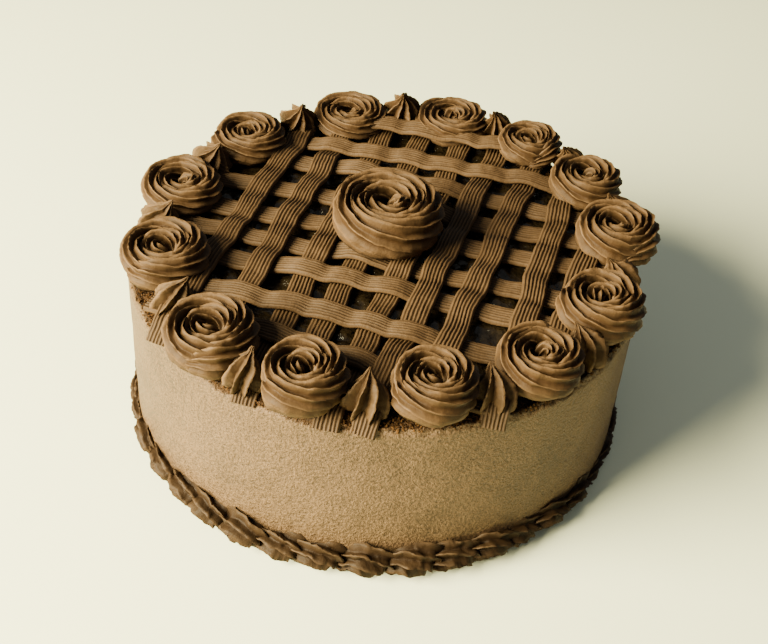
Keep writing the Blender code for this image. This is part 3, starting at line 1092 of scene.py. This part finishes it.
class CakeRosettesOperator(bpy.types.Operator):
    """Pipe the ring of rosettes and the larger one in the middle"""
    bl_idname = "cake.rosettes"
    bl_label = "Rosettes"

    def execute(self, context):
        settings = context.scene.cake_rosettes
        for i, (node, (start, turns)) in enumerate(zip(ROSETTE_NODES, ROSETTE_STARTS)):
            half = box_middle(node)[2]
            self.pipe(context, node, start, turns, half * settings.rope_in,
                      half * settings.rope_out, 0.5 * i)
        self.pipe(context, "rosette_middle", MIDDLE_START, settings.middle_turns,
                  *MIDDLE_ROPE, 8.0)
        return {"FINISHED"}

    def pipe(self, context, node, start, turns, rope_in, rope_out, seed):
        settings = context.scene.cake_rosettes
        piping = context.scene.cake_piping
        stretch = settings.stretch * box_middle(node)[3] / FULL_ROSETTE
        strand = rosette_strand(node, start, turns, rope_in, rope_out, stretch, settings.twist)
        name = node + "_rope"
        piece = pipe_rope(name, [strand], settings, {
            "Sides": settings.crests * 9, "Foot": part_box(node)[0].z, "Stretch": stretch,
            "Unevenness": piping.unevenness, "Waver Size": 0.009, "Seed": seed,
            "Material": piping_finish("star_tip_frosting", piping)})
        add_piece(piece, "piped_frosting", node)


class CakeStarsOperator(bpy.types.Operator):
    """Pipe a pinched star into each notch between two rosettes"""
    bl_idname = "cake.stars"
    bl_label = "Stars"

    def execute(self, context):
        settings = context.scene.cake_stars
        piping = context.scene.cake_piping
        for i, node in enumerate(STAR_NODES):
            half = box_middle(node)[2]
            radius = settings.radius * mix(0.80, 1.0, ease((half - 0.003) / 0.006))
            name = node + "_drop"
            piece = pipe_rope(name, [star_strand(node, radius)], settings, {
                "Sides": settings.crests * 12,
                "Unevenness": piping.unevenness, "Waver Size": 0.008, "Seed": 3.0 + i,
                "Material": piping_finish("star_tip_frosting", piping)}, "MINIMUM")
            add_piece(piece, "piped_frosting", node)
        return {"FINISHED"}


class CakeBorderOperator(bpy.types.Operator):
    """Pipe a border of overlapping shells round the foot"""
    bl_idname = "cake.border"
    bl_label = "Shell Border"

    def execute(self, context):
        settings = context.scene.cake_border
        piping = context.scene.cake_piping
        rng = random.Random(17)
        strands = [shell_strand(i, settings, rng) for i in range(settings.shells)]
        piece = pipe_rope("border_shells", strands, settings, {
            "Unevenness": piping.unevenness * 1.5, "Waver Size": 0.0055, "Seed": 4.0,
            "Material": piping_finish("border_frosting_painted_shade", piping, settings.shade)})
        add_piece(piece, "piped_frosting", "shell_border")
        return {"FINISHED"}


class CakeStageOperator(bpy.types.Operator):
    """Set the pale floor, the soft lights and the camera"""
    bl_idname = "cake.stage"
    bl_label = "Stage"

    def execute(self, context):
        settings = context.scene.cake_stage
        corners = [(x * FLOOR_HALF, y * FLOOR_HALF, 0.0)
                   for x, y in ((-1, -1), (1, -1), (1, 1), (-1, 1))]
        floor = bpy.data.meshes.new("pale_floor")
        floor.from_pydata(corners, [], [(0, 1, 2, 3)])
        floor.materials.append(floor_finish(settings))
        link_mesh("pale_floor", floor)
        self.add_light(context, settings)
        world = bpy.data.worlds.new("soft_sky")
        world.use_nodes = True
        sky = world.node_tree.nodes["Background"]
        sky.inputs["Color"].default_value = (*settings.sky_colour, 1.0)
        sky.inputs["Strength"].default_value = settings.sky_strength
        context.scene.world = world
        self.add_camera(context)
        return {"FINISHED"}

    def add_light(self, context, settings):
        lamp = bpy.data.lights.new("key", "AREA")
        lamp.energy = settings.key_power
        lamp.shape = "DISK"
        lamp.size = KEY_SIZE
        lamp.color = settings.key_colour
        made = bpy.data.objects.new("key", lamp)
        made.location = KEY_PLACE
        aim = Vector(LIGHT_AIM) - Vector(KEY_PLACE)
        made.rotation_euler = aim.to_track_quat("-Z", "Y").to_euler()
        context.scene.collection.objects.link(made)

    def add_camera(self, context):
        right, up = Vector(CAMERA_RIGHT), Vector(CAMERA_UP)
        turned = Matrix((right, up, right.cross(up))).transposed()
        lens = bpy.data.cameras.new("camera")
        lens.lens = CAMERA_LENS
        lens.sensor_width = 36.0
        lens.clip_start = 0.01
        made = bpy.data.objects.new("camera", lens)
        made.matrix_world = Matrix.Translation(CAMERA_PLACE) @ turned.to_4x4()
        context.scene.collection.objects.link(made)
        context.scene.camera = made


OPERATORS = (
    CakeFrostingOperator, CakeCrumbsOperator, CakeFillingOperator, CakeLatticeOperator,
    CakeRosettesOperator, CakeStarsOperator, CakeBorderOperator, CakeStageOperator,
)


class CakePanel(bpy.types.Panel):
    """Lists the parts of the cake"""
    bl_idname = "VIEW3D_PT_cake"
    bl_label = "Piped Layer Cake"
    bl_space_type = "VIEW_3D"
    bl_region_type = "UI"
    bl_category = "Cake"

    def draw(self, context):
        for operator in OPERATORS:
            self.layout.operator(operator.bl_idname)
        for name, group in SETTINGS.items():
            box = self.layout.box()
            for key in group.__annotations__:
                box.prop(getattr(context.scene, name), key)


def register():
    for group in SETTINGS.values():
        bpy.utils.register_class(group)
    for operator in OPERATORS:
        bpy.utils.register_class(operator)
    bpy.utils.register_class(CakePanel)
    for name, group in SETTINGS.items():
        setattr(bpy.types.Scene, name, PointerProperty(type=group))


def unregister():
    for name in SETTINGS:
        delattr(bpy.types.Scene, name)
    bpy.utils.unregister_class(CakePanel)
    for operator in reversed(OPERATORS):
        bpy.utils.unregister_class(operator)
    for group in reversed(SETTINGS.values()):
        bpy.utils.unregister_class(group)


def main():
    register()
    bpy.ops.cake.frosting()
    bpy.ops.cake.crumbs()
    bpy.ops.cake.filling()
    bpy.ops.cake.lattice()
    bpy.ops.cake.rosettes()
    bpy.ops.cake.stars()
    bpy.ops.cake.border()
    bpy.ops.cake.stage()


if __name__ == "__main__":
    main()
